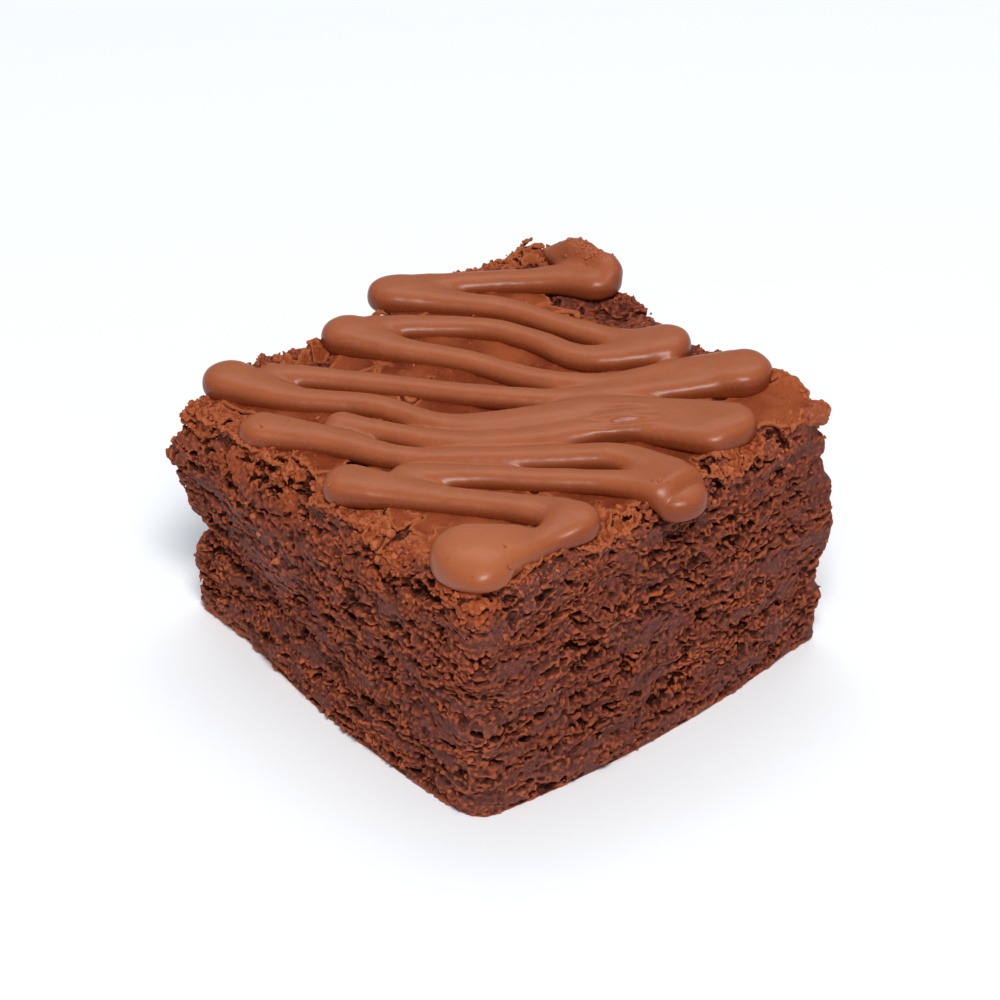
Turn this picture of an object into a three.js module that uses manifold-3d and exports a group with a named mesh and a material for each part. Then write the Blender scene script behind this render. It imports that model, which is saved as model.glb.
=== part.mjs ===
// A square chocolate brownie with a thick zigzag of milk chocolate fused to its crust.
// Millimetres, +Z up. The brownie stands on z = 0 and the middle of its box is on the Z axis.
// The four corners are named left (-X -Y), near (+X -Y), right (+X +Y) and far (-X +Y).
// The zigzag starts at the far corner and ends over the near one.
import * as THREE from 'three';
import { mergeVertices } from 'three/addons/utils/BufferGeometryUtils.js';
import Module from 'manifold-3d';

// Driving dimensions: the cut square and its thickness at each corner
const side = 64;
const half = side / 2;
const thickness = { left: 34.6, near: 35.2, right: 39.6, far: 38.2 };

// The crease that runs round the cut sides: its height and depth at each corner
const waistHeight = { left: 14.4, near: 4.5, right: 9.8, far: 12 };
const waistDepth = { left: 1.3, near: 0, right: 0.5, far: 1.8 };
const waistReach = 1.5;

// The swell of the cut sides above the crease, at each corner
const swell = { left: 2.2, near: 0.2, right: 1, far: 1 };
const swellHeight = { left: 0.8, near: 0.6, right: 0.5, far: 0.6 };
const swellReach = 0.2;

// The foot: how far each side spreads at the base, where along the side, and how wide
const foot = {
  '-Y': { spread: 2.7, middle: 11, reach: 30 },
  '+X': { spread: 3.6, middle: -8, reach: 36 },
  '+Y': { spread: 1.6, middle: 4, reach: 30 },
  '-X': { spread: 1.6, middle: -3, reach: 30 },
};

// Corner and rim rounding
const cornerRadius = { left: 1.6, near: 3, right: 1.4, far: 2.4 };
const rimInset = { left: 0, near: 1.4, right: 0.2, far: 0.8 };
const rimDepth = 1.8;
const baseInset = 0.45;
const baseDepth = 2.2;

// How fast a side's unevenness fades towards the inside of the block
const edgeFade = 7;

// The crags of the crumb and the unevenness of the crust
const crag = {
  coarse: { length: 8, layer: 4.5, depth: 0.55 },
  fine: { length: 3.8, layer: 2.8, depth: 0.7 },
};
const crustWave = { coarse: { length: 13, depth: 0.5 }, fine: { length: 4, depth: 0.3 } };

// Places where the crust has broken away: x, y, radius along x and y, depth
const brokenCrust = [
  { x: 2.5, y: 31, rx: 13, ry: 9, depth: 1.9 },
  { x: -9, y: 27, rx: 5.5, ry: 4.5, depth: 1.2 },
  { x: -26.5, y: 26.5, rx: 3.2, ry: 2.8, depth: 2 },
  { x: -28.4, y: -12, rx: 2.4, ry: 4.4, depth: 2 },
  { x: 4, y: 14.3, rx: 2.4, ry: 1.6, depth: 0.9 },
  { x: 20.6, y: -11, rx: 3, ry: 1.6, depth: 0.9 },
  { x: -1.6, y: -23.6, rx: 3.4, ry: 1.8, depth: 0.9 },
];

// Places where the crust sags over the rim
const saggingCrust = [
  { x: 15.5, y: -34, rx: 11, ry: 5.5, depth: 3 },
  { x: 34, y: -8.5, rx: 5.5, ry: 7, depth: 3 },
  { x: 34, y: 15.5, rx: 5.5, ry: 7.5, depth: 2.6 },
  { x: -5, y: -33.5, rx: 6, ry: 4, depth: 2.4 },
  { x: -23, y: -34.5, rx: 5, ry: 3, depth: 2 },
];

// Lumps of crust that stand up at the edge
const raisedCrust = [
  { x: 29.5, y: 14.5, rx: 3, ry: 4.5, depth: 1.1 },
  { x: -32.5, y: -16, rx: 4.2, ry: 10, depth: 2.6 },
  { x: -12.5, y: 33, rx: 4, ry: 3, depth: 1.5 },
  { x: 22, y: 32, rx: 9, ry: 4, depth: 1.3 },
];

// How finely the block is faceted: strips along each side and bands up it
const strips = 26;
const bands = 15;

// The zigzag, stroke by stroke: [x, y, width] where the bead's middle passes
const strokes = [
  [[-15.2, 29.8, 7.8], [-18.8, 27, 6], [-22, 23.4, 4.8], [-27, 17.5, 4.6],
    [-31.5, 11, 5.4], [-33, 8.4, 5.8]],
  [[-33.4, 6.2, 7.4], [-27, 10.3, 5], [-18.5, 15.8, 4.2], [-9, 18.8, 4], [0, 22, 5], [5, 25.2, 7.8]],
  [[6, 24.5, 6.6], [-1, 15.3, 4.8], [-9, 13.4, 4], [-16, 10.8, 4], [-24, 3.5, 4.6], [-28, -1.5, 5.5]],
  [[-29.2, -5.3, 7.8], [-21, -2, 4.8], [-12, 3, 4.1], [-2, 6.8, 4],
    [6.5, 13, 4.4], [12.5, 23, 6], [18.2, 27.8, 9]],
  [[17.5, 25.5, 6.5], [11, 14.5, 4.8], [5, 6.2, 4.2], [-4, -1.2, 4], [-14, -8.2, 4],
    [-24, -15.4, 4.4], [-28.5, -19.5, 5]],
  [[-31.8, -24.8, 7.6], [-22, -20.8, 4.8], [-12, -13.4, 4.2], [-2, -9.8, 4.4], [5, -3, 6], [10.5, 6.5, 6],
    [20, 15, 6.4], [26.3, 17.8, 8.4]],
  [[26.5, 15, 7], [16, 7.5, 5.2], [10, -3, 5], [2.5, -11.5, 4.2], [-7, -17, 4], [-12, -20, 4.8]],
  [[-18.4, -28.8, 6.8], [-9.2, -23.1, 5], [0, -18.9, 4.2], [7, -12.3, 4],
    [13.5, -5.5, 4.4], [21, 2.3, 5], [29.5, 4.6, 6.2]],
  [[32.6, 3, 8.4], [25.5, -1.6, 4.6], [18, -8.2, 4.2], [11.5, -13.8, 4.2], [4.5, -21.5, 5.2]],
  [[0.6, -28.3, 7.4], [10, -22.3, 5], [20, -15.3, 4.8], [25.5, -12, 5.8]],
  [[28.6, -12.2, 7.6], [28.6, -17.4, 5], [27, -22.4, 8.6], [24.8, -27, 10.6]],
];
const beadRise = 0.9;
const beadRisePerWidth = 0.29;
const beadSink = 1.1;
const soleShare = 0.7;
const beadStep = 3.6;
const sectionTurns = [180, 144, 108, 72, 36, 0];
const capTurns = [14, 38, 64];
const droopLimit = 31.5;
const droop = 0.22;
const droopReach = 2.6;
const lumpiness = 0.3;

// Crumbs of crust stuck to the zigzag and the rim: middle and half size along x, y and z
const stuckCrumbs = [
  { at: [-20.2, 31.2, 40.8], half: [3.8, 2.2, 2.2] },
  { at: [-15, 31.6, 41], half: [2.6, 2, 1.7] },
  { at: [31.6, 29.5, 39], half: [1.8, 2.2, 1.3] },
];

// Repeatable random values on a lattice, from -1 to 1
function latticeValue(ix, iy, iz, seed) {
  let h = Math.imul(ix, 374761393) ^ Math.imul(iy, 668265263);
  h ^= Math.imul(iz, 1274126177) ^ Math.imul(seed, 974634777);
  h = Math.imul(h ^ (h >>> 13), 1103515245);
  h = Math.imul(h ^ (h >>> 16), 1540483477);
  return ((h ^ (h >>> 15)) >>> 0) / 2147483648 - 1;
}

// Smooth noise between the lattice values
function noise(x, y, z, seed) {
  const base = [Math.floor(x), Math.floor(y), Math.floor(z)];
  const t = [x - base[0], y - base[1], z - base[2]].map((f) => f * f * (3 - 2 * f));
  let sum = 0;
  for (let corner = 0; corner < 8; corner += 1) {
    const step = [corner & 1, (corner >> 1) & 1, corner >> 2];
    const weight = step.reduce((w, s, axis) => w * (s ? t[axis] : 1 - t[axis]), 1);
    sum += weight * latticeValue(base[0] + step[0], base[1] + step[1], base[2] + step[2], seed);
  }
  return sum;
}

// A value given at the four corners, blended over the square
function blend(corners, x, y) {
  const u = THREE.MathUtils.clamp((x + half) / side, 0, 1);
  const v = THREE.MathUtils.clamp((y + half) / side, 0, 1);
  const front = corners.left * (1 - u) + corners.near * u;
  const back = corners.far * (1 - u) + corners.right * u;
  return front * (1 - v) + back * v;
}

// A smooth hump of height 1 that falls to 0 at distance 1 from its middle
function hump(distance) {
  const inside = Math.max(0, 1 - distance * distance);
  return inside * inside;
}

// A bell curve of height 1
function bell(distance) {
  return Math.exp(-(distance * distance));
}

function patches(list, x, y) {
  return list.reduce((sum, p) => sum + p.depth * hump(Math.hypot((x - p.x) / p.rx, (y - p.y) / p.ry)), 0);
}

// The height of the crust over the point x, y
function crustHeight(x, y) {
  const { coarse, fine } = crustWave;
  const waves = coarse.depth * noise(x / coarse.length, y / coarse.length, 0, 11)
    + fine.depth * noise(x / fine.length, y / fine.length, 0, 12);
  const lowered = patches(brokenCrust, x, y) + patches(saggingCrust, x, y);
  return blend(thickness, x, y) + waves - lowered + patches(raisedCrust, x, y);
}

// How far a cut side stands out from the plain square at a point on it
function sideOffset(face, along, x, y, z) {
  const top = blend(thickness, x, y);
  const { spread, middle, reach } = foot[face];
  const bow = spread * Math.max(0, 1 - ((along - middle) / reach) ** 2) * (1 - z / top);
  const crease = blend(waistDepth, x, y) * bell((z - blend(waistHeight, x, y)) / waistReach);
  const bulge = blend(swell, x, y) * bell((z / top - blend(swellHeight, x, y)) / swellReach);
  const rim = blend(rimInset, x, y) * THREE.MathUtils.clamp(1 - (top - z) / rimDepth, 0, 1) ** 2;
  const base = baseInset * Math.max(0, 1 - z / baseDepth) ** 2;
  const { coarse, fine } = crag;
  const crags = coarse.depth * noise(x / coarse.length, y / coarse.length, z / coarse.layer, 21)
    + fine.depth * noise(x / fine.length, y / fine.length, z / fine.layer, 22);
  const calm = Math.min(1, z / baseDepth);
  return bow - crease + bulge - rim - base + crags * calm;
}

// Moves a point of the plain box to its place on the baked and cut block
function settle(x, y, level) {
  const front = x < 0 ? 'left' : 'near';
  const back = x < 0 ? 'far' : 'right';
  const name = y < 0 ? front : back;
  const radius = cornerRadius[name];
  const ax = Math.max(0, Math.abs(x) - (half - radius));
  const ay = Math.max(0, Math.abs(y) - (half - radius));
  const shrink = ax > 0 && ay > 0 ? Math.max(ax, ay) / Math.hypot(ax, ay) : 1;
  const px = ax > 0 && ay > 0 ? Math.sign(x) * (half - radius + ax * shrink) : x;
  const py = ax > 0 && ay > 0 ? Math.sign(y) * (half - radius + ay * shrink) : y;
  const z = level * crustHeight(px, py);
  const edgeX = (Math.abs(x) / half) ** edgeFade;
  const edgeY = (Math.abs(y) / half) ** edgeFade;
  const outX = sideOffset(x < 0 ? '-X' : '+X', py, px, py, z);
  const outY = sideOffset(y < 0 ? '-Y' : '+Y', px, px, py, z);
  return [px + Math.sign(x) * edgeX * outX, py + Math.sign(y) * edgeY * outY, z];
}

// The block: a box of strips and bands whose points are all settled
function block() {
  const box = new THREE.BoxGeometry(side, side, 1, strips, strips, bands);
  const place = box.getAttribute('position');
  for (let i = 0; i < place.count; i += 1) {
    const level = place.getZ(i) + 0.5;
    place.setXYZ(i, ...settle(place.getX(i), place.getY(i), level));
  }
  return box;
}

// One stroke of the zigzag: a low round bead with round ends, sunk a little into the crust
function bead(points) {
  const curve = new THREE.CatmullRomCurve3(points.map(([x, y, width]) => new THREE.Vector3(x, y, width)));
  const steps = Math.max(3, Math.round(curve.getLength() / beadStep));
  const rings = [];
  const ring = (u, back, scale) => {
    const at = curve.getPoint(u);
    const run = curve.getTangent(u).setZ(0).normalize();
    rings.push({ at: at.clone().setZ(0).addScaledVector(run, back), run, width: at.z * scale, scale });
  };
  const cap = (u, way, turns) => turns.forEach((degrees) => {
    const turn = THREE.MathUtils.degToRad(degrees);
    ring(u, way * (curve.getPoint(u).z / 2) * Math.cos(turn), Math.sin(turn));
  });
  cap(0, -1, capTurns);
  for (let i = 0; i <= steps; i += 1) {
    ring(i / steps, 0, 1);
  }
  cap(1, 1, [...capTurns].reverse());
  const section = sectionTurns.map((degrees) => THREE.MathUtils.degToRad(degrees));
  const count = section.length + 2;
  const place = [];
  rings.forEach(({ at, run, width, scale }) => {
    const across = new THREE.Vector3(-run.y, run.x, 0);
    const reach = Math.max(at.x, -at.y);
    const beyond = THREE.MathUtils.clamp(reach - droopLimit, 0, droopReach);
    const crust = blend(thickness, at.x, at.y) - droop * beyond * beyond;
    const rise = (beadRise + beadRisePerWidth * (width / scale)) * Math.sqrt(scale);
    const point = (share, z) => {
      const p = at.clone().addScaledVector(across, (width / 2) * share);
      place.push(p.x, p.y, z);
    };
    section.forEach((turn) => point(Math.cos(turn), crust + rise * Math.sin(turn)));
    [soleShare, -soleShare].forEach((share) => point(share, crust - beadSink));
  });
  const index = [];
  for (let r = 0; r + 1 < rings.length; r += 1) {
    for (let k = 0; k < count; k += 1) {
      const a = r * count + k;
      const b = r * count + ((k + 1) % count);
      index.push(a, a + count, b, b, a + count, b + count);
    }
  }
  const last = (rings.length - 1) * count;
  for (let k = 1; k + 1 < count; k += 1) {
    index.push(0, k, k + 1, last, last + k + 1, last + k);
  }
  const shape = new THREE.BufferGeometry();
  shape.setAttribute('position', new THREE.Float32BufferAttribute(place, 3));
  shape.setIndex(index);
  return shape;
}

// A lumpy crumb
function crumbLump({ at, half: [hx, hy, hz] }) {
  const lump = new THREE.IcosahedronGeometry(1, 1);
  const place = lump.getAttribute('position');
  for (let i = 0; i < place.count; i += 1) {
    const [x, y, z] = [place.getX(i), place.getY(i), place.getZ(i)];
    const swollen = 1 + lumpiness * noise(2.1 * x + at[0], 2.1 * y + at[1], 2.1 * z, 31);
    place.setXYZ(i, at[0] + x * hx * swollen, at[1] + y * hy * swollen, at[2] + z * hz * swollen);
  }
  return lump;
}

const wasm = await Module();
wasm.setup();

function solid(geometry) {
  geometry.deleteAttribute('normal');
  geometry.deleteAttribute('uv');
  const merged = mergeVertices(geometry, 0.001);
  return new wasm.Manifold(new wasm.Mesh({
    numProp: 3,
    vertProperties: new Float32Array(merged.getAttribute('position').array),
    triVerts: new Uint32Array(merged.getIndex().array),
  }));
}

// Fuses the zigzag and the stuck crumbs to the block
const toppings = [...strokes.map(bead), ...stuckCrumbs.map(crumbLump)];
const fused = toppings.reduce((whole, topping) => whole.add(solid(topping)), solid(block()));
const mesh = fused.getMesh();
const shape = new THREE.BufferGeometry();
shape.setAttribute('position', new THREE.Float32BufferAttribute(mesh.vertProperties, 3));
shape.setIndex(Array.from(mesh.triVerts));

// Stands the middle of the box on the Z axis
shape.computeBoundingBox();
const middle = shape.boundingBox.getCenter(new THREE.Vector3());
shape.translate(-middle.x, -middle.y, -shape.boundingBox.min.z);
shape.computeVertexNormals();

const crumb = new THREE.MeshStandardMaterial({
  color: new THREE.Color(0.17, 0.07, 0.045),
  roughness: 0.85,
  metalness: 0,
});
const brownie = new THREE.Mesh(shape, crumb);
brownie.name = 'brownie';

const group = new THREE.Group();
group.add(brownie);

export default group;
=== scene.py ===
import math

import bmesh
import bpy
import numpy as np
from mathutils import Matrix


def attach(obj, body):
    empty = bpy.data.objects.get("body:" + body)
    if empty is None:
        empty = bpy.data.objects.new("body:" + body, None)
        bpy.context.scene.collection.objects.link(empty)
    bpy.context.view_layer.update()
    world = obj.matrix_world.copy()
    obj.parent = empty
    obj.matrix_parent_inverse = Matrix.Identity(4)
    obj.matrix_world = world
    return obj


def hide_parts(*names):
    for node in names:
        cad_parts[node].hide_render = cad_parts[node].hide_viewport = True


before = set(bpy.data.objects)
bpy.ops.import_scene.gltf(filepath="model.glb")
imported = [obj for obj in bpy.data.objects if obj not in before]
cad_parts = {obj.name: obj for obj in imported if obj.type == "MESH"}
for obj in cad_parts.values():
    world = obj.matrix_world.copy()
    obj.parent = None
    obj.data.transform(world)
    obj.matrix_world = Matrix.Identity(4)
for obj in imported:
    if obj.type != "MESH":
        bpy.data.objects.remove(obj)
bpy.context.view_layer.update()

import openvdb
from mathutils import Vector

# Crumb
# The real piece is a square cut from a tray of brownie: dense, moist chocolate crumb, torn by the
# knife into layers, lumps and pores, with a crease that runs round the sides above a spread foot.
# Shapes are worked out in millimetres from the middle of the cut square, and placed in metres.
MM = 0.001
SQUARE_MIDDLE = np.array([0.1501, 0.2532, 0.0])
SIDE = 64.0
HALF = SIDE / 2
THICKNESS = {"left": 34.6, "near": 35.2, "right": 39.6, "far": 38.2}

WAIST_HEIGHT = {"left": 14.4, "near": 4.5, "right": 9.8, "far": 12.0}
WAIST_DEPTH = {"left": 1.3, "near": 0.0, "right": 0.5, "far": 1.8}
WAIST_REACH = 1.5
SWELL = {"left": 2.2, "near": 0.2, "right": 1.0, "far": 1.0}
SWELL_HEIGHT = {"left": 0.8, "near": 0.6, "right": 0.5, "far": 0.6}
SWELL_REACH = 0.2
FOOT = {
    "-Y": {"spread": 2.7, "middle": 11.0, "reach": 30.0},
    "+X": {"spread": 3.6, "middle": -8.0, "reach": 36.0},
    "+Y": {"spread": 1.6, "middle": 4.0, "reach": 30.0},
    "-X": {"spread": 1.6, "middle": -3.0, "reach": 30.0},
}
CORNER_RADIUS = {"left": 1.6, "near": 3.0, "right": 1.4, "far": 2.4}
RIM_INSET = {"left": 0.0, "near": 1.4, "right": 0.2, "far": 0.8}
RIM_DEPTH = 1.8
BASE_INSET = 0.45
BASE_DEPTH = 2.2

# Noise layers each list how much, the length along x and y, the height along z, and a seed
CRAGS = [(0.55, 8.0, 4.5, 21), (0.7, 3.8, 2.8, 22)]
CRUST_WAVES = [(0.5, 13.0, 1, 11), (0.3, 4.0, 1, 12)]

BROKEN_CRUST = [
    {"x": 2.5, "y": 31.0, "rx": 13.0, "ry": 9.0, "depth": 1.9},
    {"x": -9.0, "y": 27.0, "rx": 5.5, "ry": 4.5, "depth": 1.2},
    {"x": -26.5, "y": 26.5, "rx": 3.2, "ry": 2.8, "depth": 2.0},
    {"x": -28.4, "y": -12.0, "rx": 2.4, "ry": 4.4, "depth": 2.0},
    {"x": 4.0, "y": 14.3, "rx": 2.4, "ry": 1.6, "depth": 0.9},
    {"x": 20.6, "y": -11.0, "rx": 3.0, "ry": 1.6, "depth": 0.9},
    {"x": -1.6, "y": -23.6, "rx": 3.4, "ry": 1.8, "depth": 0.9},
]
SAGGING_CRUST = [
    {"x": 15.5, "y": -34.0, "rx": 11.0, "ry": 5.5, "depth": 3.0},
    {"x": 34.0, "y": -8.5, "rx": 5.5, "ry": 7.0, "depth": 3.0},
    {"x": 34.0, "y": 15.5, "rx": 5.5, "ry": 7.5, "depth": 2.6},
    {"x": -5.0, "y": -33.5, "rx": 6.0, "ry": 4.0, "depth": 2.4},
    {"x": -23.0, "y": -34.5, "rx": 5.0, "ry": 3.0, "depth": 2.0},
]
RAISED_CRUST = [
    {"x": 29.5, "y": 14.5, "rx": 3.0, "ry": 4.5, "depth": 1.1},
    {"x": -32.5, "y": -16.0, "rx": 4.2, "ry": 10.0, "depth": 2.6},
    {"x": -12.5, "y": 33.0, "rx": 4.0, "ry": 3.0, "depth": 1.5},
    {"x": 22.0, "y": 32.0, "rx": 9.0, "ry": 4.0, "depth": 1.3},
]

CRUMB_BOX = ((-38.5, -37, -1), (38.5, 36.5, 42))
CRUMB_VOXEL = 0.17
CRUST_THICKNESS = 0.55
CRUST_BED = 0.8 * CRUST_THICKNESS
BAND = 2.0
BARE_FROM = 0.15


def lattice_value(ix, iy, iz, seed):
    """Repeatable random values on a lattice, from -1 to 1."""
    parts = [np.asarray(i, np.int64).astype(np.uint32) for i in (ix, iy, iz)]
    h = (parts[0] * np.uint32(374761393)) ^ (parts[1] * np.uint32(668265263))
    h = h ^ (parts[2] * np.uint32(1274126177)) ^ np.uint32(seed * 974634777 % 2**32)
    h = (h ^ (h >> np.uint32(13))) * np.uint32(1103515245)
    h = (h ^ (h >> np.uint32(16))) * np.uint32(1540483477)
    return ((h ^ (h >> np.uint32(15))) / np.float32(2147483648.0) - 1).astype(np.float32)


def noise(x, y, z, seed):
    """Smooth noise between the lattice values, from -1 to 1."""
    spots = [np.asarray(a, np.float32) for a in (x, y, z)]
    bases = [np.floor(a) for a in spots]
    steps = [a - b for a, b in zip(spots, bases)]
    ease = [t * t * (3 - 2 * t) for t in steps]
    total = 0
    for corner in range(8):
        bits = [corner & 1, (corner >> 1) & 1, corner >> 2]
        weight = 1
        for bit, t in zip(bits, ease):
            weight = weight * (t if bit else 1 - t)
        total = total + weight * lattice_value(*[b + bit for b, bit in zip(bases, bits)], seed)
    return total


def layered(x, y, z, layers, start=0):
    """Noise of several sizes, added to the start. Layers list share, length, height and seed."""
    total = start
    for share, length, height, seed in layers:
        total = total + share * noise(x / length, y / length, z / height, seed)
    return total


def rise(value, start, reach):
    """From 0 at the start to 1 one reach further on."""
    return np.clip((value - start) / reach, 0, 1)


def bell(distance, reach):
    return np.exp(-((distance / reach) ** 2))


def blend(corners, x, y):
    """A value given at the four corners, blended over the square."""
    u = np.clip((x + HALF) / SIDE, 0, 1)
    v = np.clip((y + HALF) / SIDE, 0, 1)
    front = corners["left"] * (1 - u) + corners["near"] * u
    back = corners["far"] * (1 - u) + corners["right"] * u
    return front * (1 - v) + back * v


def patches(places, x, y):
    """Smooth humps at the named places of the crust."""
    total = 0
    for p in places:
        inside = np.maximum(0, 1 - ((x - p["x"]) / p["rx"]) ** 2 - ((y - p["y"]) / p["ry"]) ** 2)
        total = total + p["depth"] * inside**2
    return total


def crust_height(x, y):
    """The level of the crust over the square, with its waves, low places and raised ones."""
    waves = layered(x, y, 0, CRUST_WAVES)
    lowered = patches(BROKEN_CRUST, x, y) + patches(SAGGING_CRUST, x, y)
    return blend(THICKNESS, x, y) + waves - lowered + patches(RAISED_CRUST, x, y)


def side_offset(face, along, x, y, z):
    """How far a cut side stands out from the plain square."""
    top = blend(THICKNESS, x, y)
    foot = FOOT[face]
    bow = np.maximum(0, 1 - ((along - foot["middle"]) / foot["reach"]) ** 2)
    bow = foot["spread"] * bow * (1 - z / top)
    crease = blend(WAIST_DEPTH, x, y) * bell(z - blend(WAIST_HEIGHT, x, y), WAIST_REACH)
    bulge = blend(SWELL, x, y) * bell(z / top - blend(SWELL_HEIGHT, x, y), SWELL_REACH)
    rim = blend(RIM_INSET, x, y) * np.clip(1 - (top - z) / RIM_DEPTH, 0, 1) ** 2
    base = BASE_INSET * np.maximum(0, 1 - z / BASE_DEPTH) ** 2
    crags = layered(x, y, z, CRAGS)
    return bow - crease + bulge - rim - base + crags * np.clip(z / BASE_DEPTH, 0, 1)


def smooth_max(a, b, reach):
    """The higher value, with the crossing rounded."""
    h = np.maximum(reach - np.abs(a - b), 0) / reach
    return np.maximum(a, b) + h * h * reach / 4


def outline_distance(x, y, z):
    """Distance outside the four cut sides, with the corners rounded."""
    past_right = x - HALF - side_offset("+X", y, HALF, y, z)
    past_left = -x - HALF - side_offset("-X", y, -HALF, y, z)
    past_back = y - HALF - side_offset("+Y", x, x, HALF, z)
    past_front = -y - HALF - side_offset("-Y", x, x, -HALF, z)
    front = np.where(x < 0, CORNER_RADIUS["left"], CORNER_RADIUS["near"])
    back = np.where(x < 0, CORNER_RADIUS["far"], CORNER_RADIUS["right"])
    radius = np.where(y < 0, front, back).astype(np.float32)
    qx = np.maximum(past_right, past_left) + radius
    qy = np.maximum(past_back, past_front) + radius
    return np.hypot(np.maximum(qx, 0), np.maximum(qy, 0)) + np.minimum(np.maximum(qx, qy), 0) - radius


def axes_over(low, high, voxel):
    """Grid lines half a voxel off zero, as float32 columns that broadcast to a box."""
    lines = []
    for a, b in zip(low, high):
        steps = np.arange(math.floor(a / voxel), math.ceil(b / voxel) + 1)
        lines.append(((steps + 0.5) * voxel).astype(np.float32))
    return lines[0][:, None, None], lines[1][None, :, None], lines[2][None, None, :]


def turned(x, y, angle):
    """The same place along axes turned about the upright one."""
    c, s = math.cos(angle), math.sin(angle)
    return x * c - y * s, x * s + y * c


SMEAR_TURN = 0.4
SMEARS = [(1, 6.5, 1.9, 31), (0.6, 2.4, 0.9, 32)]
SMEAR_START = -0.12
SMEAR_BLEND = 0.4


def smear(x, y, z):
    """Where the knife has pressed the crumb smooth, from 0 to 1."""
    u, v = turned(x, y, SMEAR_TURN)
    return rise(layered(u, v, z, SMEARS), SMEAR_START, SMEAR_BLEND)


TOAST_UNDER_RIM = 5.5
TOAST_OVER_FOOT = 2.2
FOOT_TOAST = 0.8
OTHER_SIDE_TOAST = 0.25
TOAST_PATCHES = [(1.1, 4, 2.6, 33)]
TOAST_SHARE = 0.7


def toasted(x, y, z):
    """Where the crumb is drier and more orange, from 0 to 1: under the rim of the front and at its foot."""
    rim = bell(crust_height(x, y) - z, TOAST_UNDER_RIM)
    foot = FOOT_TOAST * bell(z, TOAST_OVER_FOOT) * rise(-x, 0, 10)
    side = OTHER_SIDE_TOAST + (1 - OTHER_SIDE_TOAST) * rise(-y, HALF - 5, 3)
    return side * (rim + foot) * np.clip(layered(x, y, z, TOAST_PATCHES, TOAST_SHARE), 0, 1)


# How high the torn crumb stands over the plain side, by how far the noise is from its mean
TORN_NOISE = [-2.6, -1.6, -1.0, -0.6, 0.3, 1.0, 2.4]
TORN_HEIGHT = [-2.1, -1.4, -0.85, -0.24, 0.03, 0.18, 0.38]
TORN_SPREAD = 0.34
TORN_TURN = 0.62
LAYER_WANDER = [(0.9, 6.3, 4.1, 41)]
TEARS = [(1, 2.3, 1.0, 42), (0.75, 1.0, 0.6, 43), (0.55, 0.52, 0.4, 44)]
SWELLS = [(0.3, 5.2, 1.8, 48)]
LUMPS = [(1, 0.8, 0.62, 45)]
LUMP_SHARE = 0.5
LUMP_SINK = 0.25
GRIT = [(0.2, 0.4, 0.36, 49)]

# How much of the relief is lost where the crumb is smeared, at the right corner, and on the broken top
SMEAR_LOSS = 0.74
CORNER_LOSS = 0.65
TOP_LOSS = 0.45


def crumb_relief(x, y, z):
    """Crevices, knife-flat places and lumps of the torn crumb, in millimetres out from the plain side."""
    u, v = turned(x, y, TORN_TURN)
    w = layered(u, v, z, LAYER_WANDER, z)
    tears = np.interp(layered(u, v, w, TEARS) / TORN_SPREAD, TORN_NOISE, TORN_HEIGHT)
    lumps = np.abs(layered(u, v, w, LUMPS)) - LUMP_SINK
    corner = rise(x + y, 2 * HALF - 10, 7)
    middle = rise(HALF - 1.5 - np.maximum(np.abs(x), np.abs(y)), 0, 3)
    far = rise(y, HALF - 8, 4) * rise(z, 33.5, 2)
    rough = (1 - SMEAR_LOSS * smear(x, y, z)) * (1 - CORNER_LOSS * corner)
    rough = rough * (1 - TOP_LOSS * np.maximum(middle, far))
    return layered(u, v, w, SWELLS) + (tears + LUMP_SHARE * lumps + layered(x, y, z, GRIT)) * rough


HOLLOW_REACH = 1.6
HOLLOW_RAGS = [(0.45, 1.3, 1.0, 46), (0.25, 0.6, 0.5, 47)]


def stamp(field, axes, centre, radii):
    """Carves a ragged hollow out of the field."""
    spans = []
    for line, c, r in zip(axes, centre, radii):
        inside = np.flatnonzero(np.abs(line.ravel() - c) < HOLLOW_REACH * r + 0.5)
        spans.append(slice(inside[0], inside[-1] + 1))
    x, y, z = axes[0][spans[0]], axes[1][:, spans[1]], axes[2][:, :, spans[2]]
    q = np.sqrt(sum(((a - c) / r) ** 2 for a, c, r in zip((x, y, z), centre, radii)))
    ragged = layered(x, y, z, HOLLOW_RAGS)
    part = field[spans[0], spans[1], spans[2]]
    np.maximum(part, (1 - q + ragged) * min(radii), out=part)


def surface_of(field, axes, voxel):
    """Points, triangles and quads of the field's zero surface, in millimetres."""
    limit = 3 * voxel
    grid = openvdb.FloatGrid(limit)
    grid.copyFromArray(np.clip(field, -limit, limit).astype(np.float32))
    points, triangles, quads = grid.convertToPolygons(isovalue=0.0, adaptivity=0.0)
    corner = np.array([line.ravel()[0] for line in axes])
    return points * voxel + corner, triangles.astype(np.int64), quads.astype(np.int64)


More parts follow.
